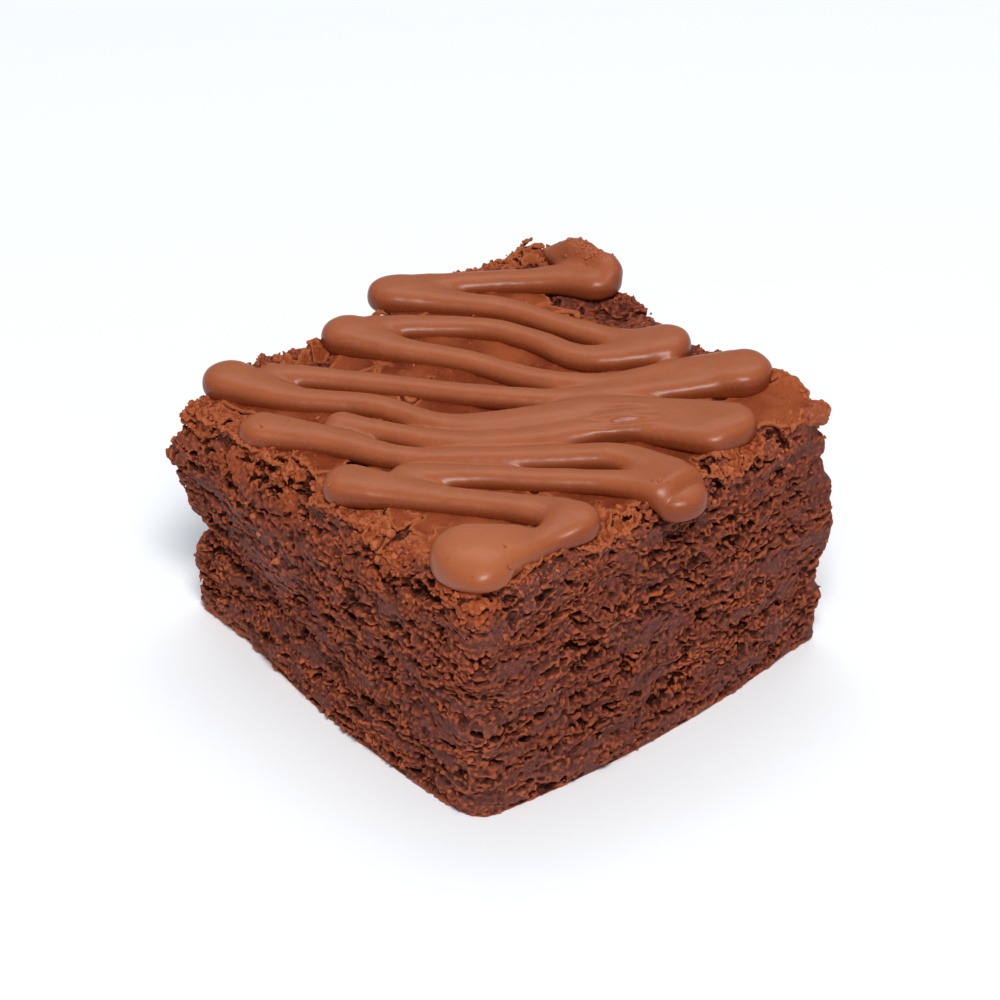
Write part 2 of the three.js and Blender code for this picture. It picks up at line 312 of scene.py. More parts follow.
def mesh_piece(name, points, triangles, quads):
    """A smooth-shaded object from points in millimetres, with its faces pointing out."""
    faces = triangles if len(triangles) else quads
    first = points[faces[:, 0]]
    turn = np.cross(points[faces[:, 1]] - first, points[faces[:, 2]] - first)
    if (first * turn).sum() < 0:
        triangles, quads = triangles[:, ::-1], quads[:, ::-1]
    corners = np.concatenate([triangles.ravel(), quads.ravel()])
    starts = np.concatenate([np.arange(len(triangles)) * 3, len(triangles) * 3 + np.arange(len(quads)) * 4])
    mesh = bpy.data.meshes.new(name)
    mesh.vertices.add(len(points))
    mesh.vertices.foreach_set("co", ((points + SQUARE_MIDDLE) * MM).astype(np.float32).ravel())
    mesh.loops.add(len(corners))
    mesh.loops.foreach_set("vertex_index", corners.astype(np.int32))
    mesh.polygons.add(len(starts))
    mesh.polygons.foreach_set("loop_start", starts.astype(np.int32))
    mesh.update(calc_edges=True)
    mesh.polygons.foreach_set("use_smooth", np.ones(len(starts), bool))
    piece = bpy.data.objects.new(name, mesh)
    bpy.context.scene.collection.objects.link(piece)
    return piece


def proud(piece, rounds):
    """How far each point stands out from the surface smoothed over its neighbours, in millimetres."""
    mesh = piece.data
    edges = np.empty(len(mesh.edges) * 2, np.int32)
    mesh.edges.foreach_get("vertices", edges)
    a, b = edges.reshape(-1, 2).T
    place = np.empty(len(mesh.vertices) * 3, np.float32)
    normal = np.empty_like(place)
    mesh.vertices.foreach_get("co", place)
    mesh.vertices.foreach_get("normal", normal)
    place, normal = place.reshape(-1, 3).astype(float), normal.reshape(-1, 3)
    count = len(place)
    joined = np.bincount(a, minlength=count) + np.bincount(b, minlength=count)
    smooth = place.T.copy()
    for _ in range(rounds):
        smooth = np.array([
            (np.bincount(a, row[b], count) + np.bincount(b, row[a], count)) / joined for row in smooth])
    return ((place - smooth.T) * normal).sum(1) / MM


def paint(piece, name, values):
    """Keeps a value from 0 to 1 at each point, for the material to read."""
    layer = piece.data.attributes.new(name, "FLOAT", "POINT")
    layer.data.foreach_set("value", np.clip(values, 0, 1).astype(np.float32))


# How many times the surface is smoothed to find its edges, and the heights that count as full
EDGE_ROUNDS = 10
EDGE_SCALE = 0.5
RELIEF_SCALE = 3

# Places with no crust, besides the broken ones
BARE_CRUMB = [
    {"x": -11.5, "y": 29.5, "rx": 11.5, "ry": 7.0, "depth": 2.8},
    {"x": 1.0, "y": 31.0, "rx": 11.0, "ry": 6.5, "depth": 2.5},
    {"x": -16.5, "y": 25.8, "rx": 6.5, "ry": 4.5, "depth": 2.8},
    {"x": -23.0, "y": -34.0, "rx": 4.5, "ry": 3.0, "depth": 2.0},
    {"x": -6.0, "y": -31.5, "rx": 3.6, "ry": 2.6, "depth": 2.0},
    {"x": -3.4, "y": -23.8, "rx": 3.4, "ry": 1.8, "depth": 2.0},
    {"x": 19.0, "y": -32.0, "rx": 3.4, "ry": 2.4, "depth": 1.6},
    {"x": 33.0, "y": 21.5, "rx": 3.4, "ry": 3.4, "depth": 2.0},
    {"x": 18.2, "y": -32.6, "rx": 2.2, "ry": 2.6, "depth": 2.6},
    {"x": 22.8, "y": -32.4, "rx": 2.2, "ry": 2.2, "depth": 2.6},
    {"x": 29.6, "y": 11.2, "rx": 2.2, "ry": 1.8, "depth": 2.6},
    {"x": 30.2, "y": 22.6, "rx": 2.4, "ry": 1.6, "depth": 2.6},
    {"x": -21.5, "y": -33.4, "rx": 2.6, "ry": 2.0, "depth": 2.6},
    {"x": 33.0, "y": 3.0, "rx": 2.6, "ry": 6.0, "depth": 2.0},
]

# Deep places of the cut sides and rims: middle and half size along x, y and z
CREVICES = [
    ((-6.5, -33.9, 10.9), (2.0, 2.0, 0.8)),
    ((2.1, -34.6, 8.2), (1.8, 2.2, 0.8)),
    ((9.0, -34.6, 5.2), (1.6, 1.6, 0.6)),
    ((-20.5, -33.4, 28.6), (1.2, 1.5, 0.9)),
    ((-5.4, -31.0, 33.0), (2.1, 2.6, 1.2)),
    ((18.4, -33.0, 30.6), (1.9, 2.4, 1.1)),
    ((23.4, -32.6, 31.8), (1.7, 2.4, 1.0)),
    ((34.0, 6.5, 25.8), (1.5, 1.6, 1.4)),
    ((34.6, -12.5, 20.7), (1.5, 1.9, 0.8)),
    ((35.0, -17.8, 19.0), (1.5, 1.8, 0.8)),
    ((34.4, -0.7, 21.6), (1.4, 2.6, 0.6)),
    ((33.2, 27.0, 9.6), (1.6, 3.6, 0.6)),
    ((33.6, 18.2, 16.9), (1.3, 1.8, 0.6)),
    ((31.6, 10.9, 35.0), (1.8, 1.4, 1.3)),
    ((31.6, 22.8, 36.6), (1.6, 1.6, 1.2)),
    ((-3.6, -23.8, 35.0), (2.6, 1.5, 1.5)),
    ((20.4, -32.8, 31.6), (2.0, 2.2, 1.5)),
    ((22.6, -32.4, 33.0), (1.8, 2.0, 1.4)),
    ((33.4, -26.0, 30.4), (1.4, 2.0, 1.4)),
    ((33.4, -20.4, 31.0), (1.4, 1.6, 1.6)),
    ((29.6, 11.2, 37.6), (1.6, 1.3, 1.6)),
    ((30.4, 22.6, 38.2), (1.8, 1.2, 1.6)),
    ((-21.8, -33.2, 33.6), (1.9, 1.7, 1.5)),
]


def crumb_surface():
    """Points and faces of the crumb, with each point's height before the relief, smear and toast."""
    axes = axes_over(*CRUMB_BOX, CRUMB_VOXEL)
    x, y, z = axes
    side = outline_distance(x, y, z)
    top = z - (crust_height(x, y) - CRUST_BED)
    plain = smooth_max(side, top, 0.8).astype(np.float32)
    field = plain.copy()
    bare = (patches(BROKEN_CRUST, x, y) > BARE_FROM) | (patches(BARE_CRUMB, x, y) > BARE_FROM)
    open_air = (side > -8) | bare
    band = np.nonzero((np.abs(plain) < BAND) & open_air & (z > 0.1))
    px, py, pz = [line.ravel()[i] for line, i in zip(axes, band)]
    field[band] -= crumb_relief(px, py, pz) * np.clip((pz + 0.5) / 1.2, 0, 1)
    for middle, half_size in CREVICES:
        stamp(field, axes, middle, half_size)
    field = np.maximum(field, -z)
    points, triangles, quads = surface_of(field, axes, CRUMB_VOXEL)
    where = [points[:, i] for i in range(3)]
    index = [np.clip(((w - line.ravel()[0]) / CRUMB_VOXEL).round().astype(int), 0, line.size - 1)
             for w, line in zip(where, axes)]
    return points, triangles, quads, plain[tuple(index)], smear(*where), toasted(*where)


points, triangles, quads, stands, smear_share, toast = crumb_surface()
crumb = mesh_piece("crumb", points, triangles, quads)
# The relief and edge values drive the painted shade in crevices and hollows and the painted highlight on
# proud tips; smear and toast are the crumb's own colour.
paint(crumb, "relief", 0.5 + stands / RELIEF_SCALE)
paint(crumb, "smear", smear_share)
paint(crumb, "toast", toast)
paint(crumb, "edge", 0.5 + proud(crumb, EDGE_ROUNDS) / EDGE_SCALE)


def new_material(name):
    material = bpy.data.materials.new(name)
    material.use_nodes = True
    tree = material.node_tree
    shader = tree.nodes["Principled BSDF"]
    return material, tree, shader


def add(tree, kind, **settings):
    """A new node with its settings: a socket by its name, anything else as a property."""
    node = tree.nodes.new(kind)
    for key, value in settings.items():
        name = key.replace("_", " ")
        socket = next((s for s in node.inputs if s.name.lower() == name.lower()), None)
        if socket is not None:
            socket.default_value = value
        else:
            setattr(node, key, value)
    return node


def ramp(tree, source, low, high, first, second):
    """Turns values from low to high into first to second."""
    node = tree.nodes.new("ShaderNodeMapRange")
    for key, value in (("From Min", low), ("From Max", high), ("To Min", first), ("To Max", second)):
        node.inputs[key].default_value = value
    tree.links.new(source, node.inputs["Value"])
    return node.outputs["Result"]


def mix(tree, share, first, second):
    """Mixes two colours. Each is a socket or a plain colour."""
    node = add(tree, "ShaderNodeMix", data_type="RGBA")
    if isinstance(share, (int, float)):
        node.inputs[0].default_value = share
    else:
        tree.links.new(share, node.inputs[0])
    for socket, value in ((node.inputs[6], first), (node.inputs[7], second)):
        if isinstance(value, tuple):
            socket.default_value = (*value, 1)
        else:
            tree.links.new(value, socket)
    return node.outputs[2]


def times(tree, first, second):
    node = add(tree, "ShaderNodeMath", operation="MULTIPLY")
    tree.links.new(first, node.inputs[0])
    tree.links.new(second, node.inputs[1])
    return node.outputs[0]


def layer(tree, name):
    """A value kept at each point of the piece."""
    return add(tree, "ShaderNodeAttribute", attribute_name=name).outputs["Fac"]


def grain_group():
    """Flecks and fine bumps of anything baked: crumb, crust and loose crumbs share it."""
    tree = bpy.data.node_groups.new("baked grain", "ShaderNodeTree")
    for name in ("Fleck", "Mottle", "Patch", "Height"):
        tree.interface.new_socket(name, in_out="OUTPUT", socket_type="NodeSocketFloat")
    out = tree.nodes.new("NodeGroupOutput")
    place = tree.nodes.new("ShaderNodeTexCoord")
    fleck = add(tree, "ShaderNodeTexNoise", scale=2000.0, detail=3.0, roughness=0.65)
    mottle = add(tree, "ShaderNodeTexNoise", scale=320.0, detail=4.0, roughness=0.6)
    patch = add(tree, "ShaderNodeTexNoise", scale=150.0, detail=3.0, roughness=0.65)
    fine = add(tree, "ShaderNodeTexNoise", scale=2600.0, detail=4.0, roughness=0.7)
    for node in (fleck, mottle, patch, fine):
        tree.links.new(place.outputs["Object"], node.inputs["Vector"])
    tree.links.new(ramp(tree, fleck.outputs["Fac"], 0.52, 0.68, 0, 1), out.inputs["Fleck"])
    tree.links.new(ramp(tree, mottle.outputs["Fac"], 0.35, 0.65, 0, 1), out.inputs["Mottle"])
    tree.links.new(ramp(tree, patch.outputs["Fac"], 0.42, 0.6, 0, 1), out.inputs["Patch"])
    tree.links.new(fine.outputs["Fac"], out.inputs["Height"])
    return tree


GRAIN = grain_group()


def grain_and_bump(tree, shader, strength, distance):
    """The grain group, with its fine bumps on the shader."""
    grain = tree.nodes.new("ShaderNodeGroup")
    grain.node_tree = GRAIN
    bump = add(tree, "ShaderNodeBump", strength=strength, distance=distance)
    tree.links.new(grain.outputs["Height"], bump.inputs["Height"])
    tree.links.new(bump.outputs["Normal"], shader.inputs["Normal"])
    return grain


CRUMB_BODY = ((0.122, 0.03, 0.0215), (0.198, 0.0455, 0.0255))
SMEARED_CRUMB = (0.14, 0.044, 0.035)
TOASTED_CRUMB = (0.42, 0.085, 0.023)
# Painted shade: the colours that darken the crumb's crevices and hollows.
CRUMB_CREVICE_SHADE = (0.04, 0.009, 0.006)
CRUMB_HOLLOW_SHADE = (0.045, 0.01, 0.006)
# Proud tips: lighter and more orange, partly the drier crumb's own colour and partly painted highlight.
CRUMB_TIP_AND_HIGHLIGHT = (0.56, 0.121, 0.038)
CRUMB_FLECK = (0.45, 0.12, 0.045)


def crumb_material():
    """Dark moist crumb, greyer where smeared, with painted shade in its crevices and hollows, and its proud
    tips more orange, partly as painted highlight.
    """
    material, tree, shader = new_material("crumb")
    grain = grain_and_bump(tree, shader, 0.9, 0.0005)
    relief, smeared, edge = (layer(tree, name) for name in ("relief", "smear", "edge"))
    body = mix(tree, grain.outputs["Mottle"], *CRUMB_BODY)
    smooth = mix(tree, ramp(tree, smeared, 0.1, 0.9, 0, 0.8), body, SMEARED_CRUMB)
    baked = mix(tree, ramp(tree, layer(tree, "toast"), 0.05, 0.9, 0, 0.85), smooth, TOASTED_CRUMB)
    # Painted shade: darker where a point lies below the plain side, and in the hollows that the smoothing
    # finds.
    crevice_shade = mix(tree, ramp(tree, relief, 0.1, 0.48, 1, 0), baked, CRUMB_CREVICE_SHADE)
    hollow_shade = mix(tree, ramp(tree, edge, 0.26, 0.48, 0.95, 0), crevice_shade, CRUMB_HOLLOW_SHADE)
    patchy = ramp(tree, grain.outputs["Patch"], 0, 1, 0.4, 0.95)
    # Painted highlight, with the crumb's own orange: lighter on proud tips, in patches.
    share = times(tree, ramp(tree, edge, 0.54, 0.74, 0, 1), patchy)
    tips_and_highlight = mix(tree, share, hollow_shade, CRUMB_TIP_AND_HIGHLIGHT)
    flecked = mix(tree, ramp(tree, grain.outputs["Fleck"], 0, 1, 0, 0.45), tips_and_highlight, CRUMB_FLECK)
    tree.links.new(flecked, shader.inputs["Base Color"])
    tree.links.new(ramp(tree, smeared, 0, 1, 0.8, 0.55), shader.inputs["Roughness"])
    shader.inputs["Specular IOR Level"].default_value = 0.15
    return material


crumb.data.materials.append(crumb_material())
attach(crumb, "root")
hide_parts("brownie")

# Crust
# The real piece has a thin, dry, paler skin where the top met the oven's air. It has cracked, broken
# off along the cut edges and lifted in flakes, and it is stuck to the crumb below.
CRUST_BOX = ((-38, -37, -2.0), (38, 36.5, 2.4))
CRUST_VOXEL = 0.2

# Cracks of the crust, each from one end to the other, with its widest gap
CRACKS = [
    {"start": (18.0, 18.0), "end": (22.4, 31.0), "gap": 1.1},
    {"start": (-29.0, -28.2), "end": (-23.4, -26.4), "gap": 0.7},
    {"start": (-7.5, 24.0), "end": (-15.0, 21.6), "gap": 0.6},
    {"start": (12.0, 15.6), "end": (16.0, 19.2), "gap": 0.5},
    {"start": (27.0, 11.0), "end": (31.5, 9.4), "gap": 0.8},
    {"start": (28.4, 21.4), "end": (32.6, 23.0), "gap": 0.8},
]
CRACK_WANDER = [(0.55, 1.6, 1, 63)]

# Where the crust is whole and even up to its edge
EVEN_CRUST = [
    {"x": 24.0, "y": 28.0, "rx": 11.5, "ry": 9.5, "depth": 2.4},
    {"x": 17.5, "y": -29.5, "rx": 4.5, "ry": 3.0, "depth": 1.2},
]


def crack_field(x, y):
    """Above zero inside the named cracks."""
    total = np.full(np.broadcast(x, y).shape, -4, np.float32)
    for crack in CRACKS:
        start, end = np.array(crack["start"]), np.array(crack["end"])
        run = end - start
        length = float(np.hypot(*run))
        along = ((x - start[0]) * run[0] + (y - start[1]) * run[1]) / length**2
        across = ((x - start[0]) * run[1] - (y - start[1]) * run[0]) / length
        across = layered(x, y, 0, CRACK_WANDER, across)
        gap = crack["gap"] / 2 * np.sqrt(np.clip(4 * along * (1 - along), 0, 1))
        inside = gap - np.abs(across) - np.maximum(np.abs(along - 0.5) - 0.5, 0) * length
        total = np.maximum(total, inside)
    return total


CELL_SCATTER = 0.42


def cells(x, y, size, seed):
    """The nearest of many scattered middles.

    Gives its distance, how much farther the next one is, its number and its offset along x and y.
    """
    gx, gy = np.floor(x / size), np.floor(y / size)
    near = np.full(np.broadcast(x, y).shape, 9.0, np.float32)
    second, number, ox, oy = near.copy(), near * 0, near * 0, near * 0
    for i in (-1, 0, 1):
        for j in (-1, 0, 1):
            cx, cy = gx + i, gy + j
            dx = x / size - cx - 0.5 - CELL_SCATTER * lattice_value(cx, cy, 0, seed)
            dy = y / size - cy - 0.5 - CELL_SCATTER * lattice_value(cx, cy, 1, seed)
            far = np.hypot(dx, dy)
            closer = far < near
            second = np.where(closer, near, np.minimum(second, far))
            number = np.where(closer, lattice_value(cx, cy, 2, seed), number)
            ox, oy = np.where(closer, dx, ox), np.where(closer, dy, oy)
            near = np.minimum(near, far)
    return near * size, (second - near) * size, number, ox * size, oy * size


# How far the crust may stand past the cut sides, and how ragged its edge is
EDGE_REACH = 0.3
EDGE_LIMIT = 0.45
EDGE_RAGS = [(1.0, 2.6, 1, 51)]
FINE_EDGE_RAGS = [(0.5, 1.1, 1, 52)]

# Where the crust is gone, how its broad crackle runs, and how its surface waves
GONE_FROM = 0.62
GONE_RAGS = [(0.5, 2.6, 1, 53), (0.25, 1, 1, 54)]
CRACKLE_TURN = 0.5
CRACKLE_RUN = [(1, 9.5, 1, 55), (0.3, 2.1, 1, 56)]
CRACKLE_WIDTH = 0.14
CRACKLE_STEEPNESS = 5.5
CRACKLE_PATCHES = [(0.5, 7, 1, 57)]
CRUST_GRAIN = [(0.1, 1.7, 1, 58)]
PALE_PATCHES = [(0.5, 5, 1, 62)]
PALE_SHARE = 0.42

# Plates, chips and grains that the crust has broken into: their sizes, and how far they reach inward
BREAK_WARP_X = [(0.7, 1.5, 1, 64), (0.25, 0.6, 1, 65)]
BREAK_WARP_Y = [(0.7, 1.5, 1, 66), (0.25, 0.6, 1, 67)]
PLATE_SIZE = 5.8
PLATE_TILT = 0.13
PLATE_STEP = 0.3
PLATE_LIFT = 0.15
PLATE_GAP = 0.24
PLATED_FROM = 0.25
CHIP_SIZE = 1.5
CHIP_STEP = 0.24
CHIP_SINK = 0.08
LOST_CHIP = -0.78
GRAIN_SIZE = 0.62
CRUMBLY_REACH = 2.2
FLAKY_REACH = 5.5
SAG_DEPTH = 3


def broken_up(x, y, crumbly, flaky):
    """How high the plates, chips and grains stand, and fields above zero in the gaps and lost chips."""
    wx = layered(x, y, 0, BREAK_WARP_X, x)
    wy = layered(x, y, 0, BREAK_WARP_Y, y)
    _, gap, number, ox, oy = cells(wx, wy, PLATE_SIZE, 101)
    tilt = PLATE_TILT * (np.cos(9 * number) * ox + np.sin(9 * number) * oy)
    plate = flaky * (tilt + PLATE_STEP * number + PLATE_LIFT)
    between = np.where(flaky > PLATED_FROM, PLATE_GAP * flaky - gap, -1)
    _, chip_gap, chip, _, _ = cells(wx, wy, CHIP_SIZE, 105)
    chips = crumbly * (CHIP_STEP * chip + CHIP_STEP * np.minimum(chip_gap, 0.5) - CHIP_SINK)
    lost = np.where(chip < LOST_CHIP, crumbly - 0.5, -1) * 0.8
    grain_near, _, grain, _, _ = cells(wx, wy, GRAIN_SIZE, 109)
    grains = (0.08 + 0.8 * crumbly) * (0.2 + 0.25 * grain - 0.65 * grain_near)
    return layered(x, y, 0, CRUST_GRAIN) + plate + chips + grains, between, lost


def crust_surface():
    """Points and faces of the crust, with how pale each point is and how near the rim."""
    axes = axes_over(*CRUST_BOX, CRUST_VOXEL)
    x, y, z = axes
    side = outline_distance(x, y, crust_height(x, y) - 0.2)
    even = np.clip(patches(EVEN_CRUST, x, y), 0, 1)
    ragged = layered(x, y, 0, EDGE_RAGS) + (1 - even) * layered(x, y, 0, FINE_EDGE_RAGS)
    edge = np.maximum(side - EDGE_REACH + ragged, side - EDGE_LIMIT)
    gone = patches(BROKEN_CRUST, x, y) + patches(BARE_CRUMB, x, y) - GONE_FROM
    gone = layered(x, y, 0, GONE_RAGS, gone)
    u, v = turned(x, y, CRACKLE_TURN)
    crackle = CRACKLE_WIDTH - np.abs(layered(u, v, 0, CRACKLE_RUN)) * CRACKLE_STEEPNESS
    crackle = layered(u, v, 0, CRACKLE_PATCHES, crackle)
    sag = patches(SAGGING_CRUST, x, y)
    crumbly = np.clip(bell(np.minimum(-side, 8), CRUMBLY_REACH) + 2 * sag / SAG_DEPTH, 0, 1)
    flaky = np.clip(bell(np.minimum(-side, 9), FLAKY_REACH) + 1.5 * sag / SAG_DEPTH, 0, 1)
    lift, between, lost = broken_up(x, y, crumbly * (1 - 0.75 * even), flaky * (1 - even))
    slab = np.abs(z - (lift - CRUST_THICKNESS / 2)) - CRUST_THICKNESS / 2
    holes = np.maximum(np.maximum(gone * 1.2, lost), np.maximum(crackle * 0.5, crack_field(x, y)))
    field = np.maximum(slab, np.maximum(edge, np.maximum(holes, between)))
    points, triangles, quads = surface_of(field, axes, CRUST_VOXEL)
    where = (points[:, 0], points[:, 1])
    level = crust_height(*where)
    paler = layered(*where, 0, PALE_PATCHES, PALE_SHARE)
    paler = paler + 0.5 * np.clip(patches(EVEN_CRUST, *where), 0, 1)
    near_edge = bell(np.minimum(-outline_distance(*where, level - 0.2), 8), CRUMBLY_REACH)
    points[:, 2] += level
    return points, triangles, quads, paler, near_edge


points, triangles, quads, paler, near_edge = crust_surface()
crust = mesh_piece("crust", points, triangles, quads)
paint(crust, "paler", paler)
paint(crust, "rim", near_edge)
# The edge value darkens hollows with painted shade and lightens proud tips, partly as painted highlight.
paint(crust, "edge", 0.5 + proud(crust, EDGE_ROUNDS) / EDGE_SCALE)


CRUST_BODY = ((0.2, 0.031, 0.009), (0.3, 0.052, 0.014))
PALE_CRUST = (0.43, 0.098, 0.031)
RIM_CRUST = (0.4, 0.083, 0.025)
# Painted shade for the crust's cracks and hollows, and a tip colour that is partly painted highlight.
CRUST_HOLLOW_SHADE = (0.09, 0.016, 0.007)
CRUST_TIP_AND_HIGHLIGHT = (0.58, 0.16, 0.055)
CRUST_FLECK = (0.42, 0.12, 0.045)


def crust_material():
    """Dry orange-brown skin, paler in patches and at the rim, with painted shade in its cracks and hollows
    and its proud tips lighter, partly as painted highlight.
    """
    material, tree, shader = new_material("crust")
    grain = grain_and_bump(tree, shader, 1.0, 0.0005)
    body = mix(tree, grain.outputs["Mottle"], *CRUST_BODY)
    pale = mix(tree, ramp(tree, layer(tree, "paler"), 0.35, 0.85, 0, 0.9), body, PALE_CRUST)
    rimmed = mix(tree, ramp(tree, layer(tree, "rim"), 0.1, 0.9, 0, 0.7), pale, RIM_CRUST)
    edge = layer(tree, "edge")
    # Painted shade in cracks and hollows, then painted highlight with the crust's own orange on proud tips.
    hollow_shade = mix(tree, ramp(tree, edge, 0.25, 0.48, 0.85, 0), rimmed, CRUST_HOLLOW_SHADE)
    tips_and_highlight = mix(tree, ramp(tree, edge, 0.53, 0.72, 0, 0.8), hollow_shade, CRUST_TIP_AND_HIGHLIGHT)
    flecked = mix(tree, ramp(tree, grain.outputs["Fleck"], 0, 1, 0, 0.25), tips_and_highlight, CRUST_FLECK)
    tree.links.new(flecked, shader.inputs["Base Color"])
    shader.inputs["Roughness"].default_value = 0.75
    shader.inputs["Specular IOR Level"].default_value = 0.12
    return material


crust.data.materials.append(crust_material())
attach(crust, "root")
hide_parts("brownie")

# Milk chocolate
# The real piece is tempered milk chocolate, piped warm in one zigzag from the far corner to the near
# one, where it ran together at the turns and set with a satin skin. It is stuck to the crust.
# Each stroke lists x, y and width where the bead's middle passes.
CHOCOLATE_BOX = ((-41, -38, -2.2), (40, 37, 6.5))
CHOCOLATE_VOXEL = 0.25
STROKES = [
    [(-15.2, 29.8, 7.8), (-18.8, 27, 6), (-22, 23.4, 4.8), (-27, 17.5, 4.6), (-31.5, 11, 5.4),
     (-33, 8.4, 5.8)],
    [(-33.4, 6.2, 7.4), (-27, 10.3, 5), (-18.5, 15.8, 4.2), (-9, 18.8, 4), (0, 22, 5), (5, 25.2, 7.8)],
    [(6, 24.5, 6.6), (-1, 15.3, 4.8), (-9, 13.4, 4), (-16, 10.8, 4), (-24, 3.5, 4.6), (-28, -1.5, 5.5)],
    [(-29.2, -5.3, 7.8), (-21, -2, 4.8), (-12, 3, 4.1), (-2, 6.8, 4), (6.5, 13, 4.4), (12.5, 23, 6),
     (18.2, 27.8, 9)],
    [(17.5, 25.5, 6.5), (11, 14.5, 4.8), (5, 6.2, 4.2), (-4, -1.2, 4), (-14, -8.2, 4), (-24, -15.4, 4.4),
     (-28.5, -19.5, 5)],
    [(-31.8, -24.8, 7.6), (-22, -20.8, 4.8), (-12, -13.4, 4.2), (-2, -9.8, 4.4), (5, -3, 6), (10.5, 6.5, 6),
     (20, 15, 6.4), (26.3, 17.8, 8.4)],
    [(26.5, 15, 7), (16, 7.5, 5.2), (10, -3, 5), (2.5, -11.5, 4.2), (-7, -17, 4), (-12, -20, 4.8)],
    [(-18.4, -28.8, 6.8), (-9.2, -23.1, 5), (0, -18.9, 4.2), (7, -12.3, 4), (13.5, -5.5, 4.4), (21, 2.3, 5),
     (29.5, 4.6, 6.2)],
    [(32.6, 3, 8.4), (25.5, -1.6, 4.6), (18, -8.2, 4.2), (11.5, -13.8, 4.2), (4.5, -21.5, 5.2)],
    [(0.6, -28.3, 7.4), (10, -22.3, 5), (20, -15.3, 4.8), (25.5, -12, 5.8)],
    [(28.6, -12.2, 7.6), (28.6, -17.4, 5), (27, -22.4, 8.6), (24.8, -27, 10.6)],
]
BEAD_RISE = 0.9
BEAD_RISE_PER_WIDTH = 0.29
DROOP_LIMIT = 31.5
DROOP = 0.22
DROOP_REACH = 2.6
BEAD_MIDDLE = 0.22
BEAD_SINK = 0.9
BEAD_STEP = 0.4
BEAD_MARGIN = 7
SQUARENESS = 2.2
SQUARENESS_PER_WIDTH = 0.17
SQUARER_FROM = 4


def stroke_path(stroke, step):
    """Points along the smooth curve through a stroke, about a step apart."""
    p = np.array(stroke, float)
    p = np.vstack([2 * p[0] - p[1], p, 2 * p[-1] - p[-2]])
    path = []
    for a, b, c, d in zip(p, p[1:], p[2:], p[3:]):
        gaps = [math.sqrt(np.linalg.norm(m - n)) for m, n in ((b, a), (c, b), (d, c))]
        leave = ((b - a) / gaps[0] - (c - a) / (gaps[0] + gaps[1]) + (c - b) / gaps[1]) * gaps[1]
        reach = ((c - b) / gaps[1] - (d - b) / (gaps[1] + gaps[2]) + (d - c) / gaps[2]) * gaps[1]
        count = max(2, round(np.linalg.norm(c - b) / step))
        square, cube = 3 * c - 3 * b - 2 * leave - reach, 2 * b - 2 * c + leave + reach
        for t in np.arange(count) / count:
            path.append(b + leave * t + square * t**2 + cube * t**3)
    return np.array(path + [p[-2]])


def chocolate_base(x, y):
    """The level that the zigzag lies on, sagging where it hangs over an edge."""
    reach = np.maximum(x, -y) - DROOP_LIMIT
    return blend(THICKNESS, x, y) - DROOP * np.clip(reach, 0, DROOP_REACH) ** 2


def bead_field(stroke, x, y, z):
    """Distance outside one bead, over a flat level."""
    path = stroke_path(stroke, BEAD_STEP)
    low = path[:, :2].min(0) - BEAD_MARGIN
    high = path[:, :2].max(0) + BEAD_MARGIN
    ix = np.flatnonzero((x.ravel() > low[0]) & (x.ravel() < high[0]))
    iy = np.flatnonzero((y.ravel() > low[1]) & (y.ravel() < high[1]))
    gx, gy = np.meshgrid(x.ravel()[ix], y.ravel()[iy], indexing="ij")
    best = np.full(gx.shape, 1e9, np.float32)
    half_width = np.full(gx.shape, 2, np.float32)
    for px, py, width in path:
        share = np.hypot(gx - px, gy - py) / (width / 2)
        closer = share < best
        best[closer] = share[closer]
        half_width[closer] = width / 2
    height = BEAD_RISE + BEAD_RISE_PER_WIDTH * 2 * half_width
    middle = (BEAD_MIDDLE * height)[:, :, None]
    above = height[:, :, None] - middle
    below = middle + BEAD_SINK
    upward = z - middle
    tall = np.where(upward > 0, above, below)
    side = best[:, :, None]
    half_width = half_width[:, :, None]
    square = np.maximum(SQUARENESS + SQUARENESS_PER_WIDTH * (2 * half_width - SQUARER_FROM), SQUARENESS)
    q = (side**square + np.abs(upward / tall) ** square) ** (1 / square)
    slope = np.sqrt((side / half_width) ** 2 + (upward / tall**2) ** 2) + 1e-4
    return ix, iy, (q - 1) * q / slope


def smooth_min(a, b, reach):
    """The lower value, with the crossing rounded."""
    return -smooth_max(-a, -b, reach)


# How far the strokes run into one another, the lumps and the crumb, and how far their creases round
BEAD_BLEND = 0.7
COAT_BLEND = 1.2
RUN_OUT_BLEND = 1.4
MELT = 1
COAT_WAVES = [(0.25, 1.7, 1.7, 73)]
SKIN_WAVES = [(0.05, 2.4, 1, 71), (0.02, 0.9, 1, 72)]

# Lumps of crumb under the chocolate at its far end, with z over the level that the zigzag lies on
COATED_LUMPS = [
    {"at": (-20.2, 31.2, 2.6), "half": (3.8, 2.2, 2.2)},
    {"at": (-15.0, 31.6, 2.7), "half": (2.6, 2.0, 1.7)},
    {"at": (-23.2, 30.2, 1.4), "half": (2.8, 2.2, 2.0)},
]

# Where the end of the zigzag has run down over the near corner, with z as above
RUN_OUT = {"at": (28.0, -27.8, 1.5), "half": (4.8, 4.6, 2.4)}

# The near end of the zigzag, made paler by painted light
PAINTED_LIGHT_END = (27.0, -27.0)
PAINTED_LIGHT_REACH = 6.5

# Where the chocolate has set in folds, and which way they run
FOLDS = [{"x": 16.0, "y": 7.5, "rx": 7.0, "ry": 6.0, "depth": 0.5}]
FOLD_TURN = -0.87
FOLD_LENGTH = 5.5
FOLD_WIDTH = 0.75


